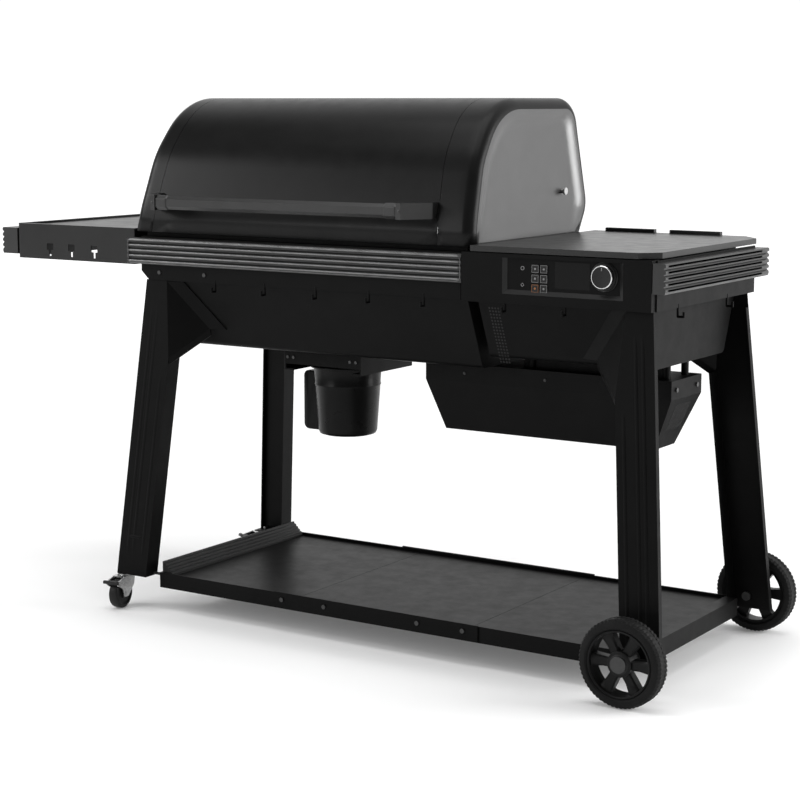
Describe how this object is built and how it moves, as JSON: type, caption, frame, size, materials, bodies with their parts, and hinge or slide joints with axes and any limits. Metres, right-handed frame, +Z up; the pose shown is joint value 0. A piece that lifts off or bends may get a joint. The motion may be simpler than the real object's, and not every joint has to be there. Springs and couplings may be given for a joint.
{
  "type": "pellet smoker grill",
  "caption": "Wood-pellet smoker grill on splayed legs with wheels: barrel with a swinging lid, pellet hopper and controls at one end, side shelf, bottom shelf and grease keg.",
  "frame": {"origin": "centre of the base of the overall box, on the ground", "axes": "+X to the right along the front rail, towards the hopper; +Y to the back; +Z up"},
  "size_m": [1.8516, 0.7196, 1.192],
  "materials": {
    "powder_coat": "fine-textured satin black powder coat",
    "cap_enamel": "smooth satin black enamel",
    "dark_trim": "satin dark grey",
    "inner_steel": "mill",
    "zinc": "zinc plated",
    "cast_grate": "porcelain enamel",
    "chrome_wire": "bright",
    "black_plastic": "matte moulded",
    "keg_enamel": "satin black",
    "display": "glossy black",
    "tyre_rubber": "hard moulded, dull"
  },
  "bodies": {
    "grill": {"leg_front_left": "powder_coat", "leg_front_right": "powder_coat", "leg_rear_left": "powder_coat", "leg_rear_right": "powder_coat", "frame_beams": "powder_coat", "tub_shell": "powder_coat", "tub_ends": "powder_coat", "exhaust_duct": "powder_coat", "hopper_enclosure": "powder_coat", "drive_housing": "powder_coat", "control_housing": "powder_coat", "keg_bracket": "powder_coat", "shelf_panels": "powder_coat", "shelf_joint_plates": "powder_coat", "side_shelf": "powder_coat", "rail_front": "dark_trim", "side_rails": "dark_trim", "heat_baffle": "inner_steel", "fire_pot": "inner_steel", "auger_tube": "inner_steel", "hopper_bin": "inner_steel", "drip_tray": "inner_steel", "fan_housing": "inner_steel", "auger_motor": "inner_steel", "temperature_probe": "inner_steel", "igniter": "inner_steel", "hinge_pins": "zinc", "wheel_axles": "zinc", "fasteners": "zinc", "tool_hooks": "zinc", "cooking_grates": "cast_grate", "upper_rack": "chrome_wire", "power_inlet": "black_plastic", "shelf_bumper": "black_plastic", "display_glass": "display"},
    "lid": {"lid_shell": "powder_coat", "lid_caps": "cap_enamel", "lid_handle": "dark_trim"},
    "hopper_cover": {"hopper_lid": "powder_coat"},
    "dial": {"knob": "black_plastic"},
    "front_wheel": {"tyre_front": "tyre_rubber", "rim_front": "black_plastic"},
    "rear_wheel": {"tyre_rear": "tyre_rubber", "rim_rear": "black_plastic"},
    "front_swivel": {"caster_fork_front": "zinc"},
    "front_caster_wheel": {"caster_wheel_front": "black_plastic"},
    "front_brake": {"caster_brake_front": "black_plastic"},
    "rear_swivel": {"caster_fork_rear": "zinc"},
    "rear_caster_wheel": {"caster_wheel_rear": "black_plastic"},
    "rear_brake": {"caster_brake_rear": "black_plastic"},
    "keg": {"grease_keg": "keg_enamel"},
    "auger": {"auger_screw": "inner_steel"},
    "fan": {"fan_impeller": "inner_steel"},
    "rocker": {"power_switch": "black_plastic"},
    "key_1": {"button_1": "black_plastic"},
    "key_2": {"button_2": "black_plastic"},
    "key_3": {"button_3": "black_plastic"},
    "key_4": {"button_4": "black_plastic"},
    "key_5": {"button_5": "black_plastic"},
    "key_6": {"button_6": "black_plastic"}
  },
  "joints": [
    {"name": "lid_hinge", "type": "hinge", "parent": "grill", "child": "lid", "pos_m": [-0.03225, 0.1765, 0.986], "axis": [-1, 0, 0], "range_deg": [0, 78]},
    {"name": "hopper_lid_hinge", "type": "hinge", "parent": "grill", "child": "hopper_cover", "pos_m": [0.60225, 0.2875, 0.874], "axis": [-1, 0, 0], "range_deg": [0, 95]},
    {"name": "dial_turn", "type": "hinge", "parent": "grill", "child": "dial", "pos_m": [0.73525, -0.2525, 0.841], "axis": [0, 1, 0], "continuous": true},
    {"name": "key_1_press", "type": "slide", "parent": "grill", "child": "key_1", "axis": [0, 1, 0], "range_m": [0, 0.0012], "stiffness_N_per_m": 500, "springref_m": -0.0005},
    {"name": "key_2_press", "type": "slide", "parent": "grill", "child": "key_2", "axis": [0, 1, 0], "range_m": [0, 0.0012], "stiffness_N_per_m": 500, "springref_m": -0.0005},
    {"name": "key_3_press", "type": "slide", "parent": "grill", "child": "key_3", "axis": [0, 1, 0], "range_m": [0, 0.0012], "stiffness_N_per_m": 500, "springref_m": -0.0005},
    {"name": "key_4_press", "type": "slide", "parent": "grill", "child": "key_4", "axis": [0, 1, 0], "range_m": [0, 0.0012], "stiffness_N_per_m": 500, "springref_m": -0.0005},
    {"name": "key_5_press", "type": "slide", "parent": "grill", "child": "key_5", "axis": [0, 1, 0], "range_m": [0, 0.0012], "stiffness_N_per_m": 500, "springref_m": -0.0005},
    {"name": "key_6_press", "type": "slide", "parent": "grill", "child": "key_6", "axis": [0, 1, 0], "range_m": [0, 0.0012], "stiffness_N_per_m": 500, "springref_m": -0.0005},
    {"name": "front_wheel_spin", "type": "hinge", "parent": "grill", "child": "front_wheel", "pos_m": [0.83525, -0.3275, 0.0905], "axis": [0, 1, 0], "continuous": true},
    {"name": "rear_wheel_spin", "type": "hinge", "parent": "grill", "child": "rear_wheel", "pos_m": [0.83525, 0.3275, 0.0905], "axis": [0, 1, 0], "continuous": true},
    {"name": "front_swivel_turn", "type": "hinge", "parent": "grill", "child": "front_swivel", "pos_m": [-0.50575, -0.27524, 0.079], "axis": [0, 0, 1], "continuous": true},
    {"name": "front_caster_spin", "type": "hinge", "parent": "front_swivel", "child": "front_caster_wheel", "pos_m": [-0.50241, -0.299, 0.0355], "axis": [0.9903, 0.1392, 0], "continuous": true},
    {"name": "front_brake_press", "type": "hinge", "parent": "front_swivel", "child": "front_brake", "pos_m": [-0.49837, -0.32772, 0.0645], "axis": [0.9903, 0.1392, 0], "range_deg": [0, 18]},
    {"name": "rear_swivel_turn", "type": "hinge", "parent": "grill", "child": "rear_swivel", "pos_m": [-0.50575, 0.27524, 0.079], "axis": [0, 0, 1], "continuous": true},
    {"name": "rear_caster_spin", "type": "hinge", "parent": "rear_swivel", "child": "rear_caster_wheel", "pos_m": [-0.51847, 0.25488, 0.0355], "axis": [0.848, -0.5299, 0], "continuous": true},
    {"name": "rear_brake_press", "type": "hinge", "parent": "rear_swivel", "child": "rear_brake", "pos_m": [-0.53384, 0.23029, 0.0645], "axis": [0.848, -0.5299, 0], "range_deg": [0, 18]},
    {"name": "keg_slide", "type": "slide", "parent": "grill", "child": "keg", "axis": [0, -1, 0], "range_m": [0, 0.26]},
    {"name": "auger_turn", "type": "hinge", "parent": "grill", "child": "auger", "pos_m": [0.35125, 0, 0.69], "axis": [1, 0, 0], "continuous": true},
    {"name": "fan_spin", "type": "hinge", "parent": "grill", "child": "fan", "pos_m": [0.44925, -0.0085, 0.545], "axis": [0, 0, 1], "continuous": true},
    {"name": "rocker_press", "type": "hinge", "parent": "grill", "child": "rocker", "pos_m": [0.69125, 0.2775, 0.821], "axis": [-1, 0, 0], "range_deg": [0, 16]}
  ]
}
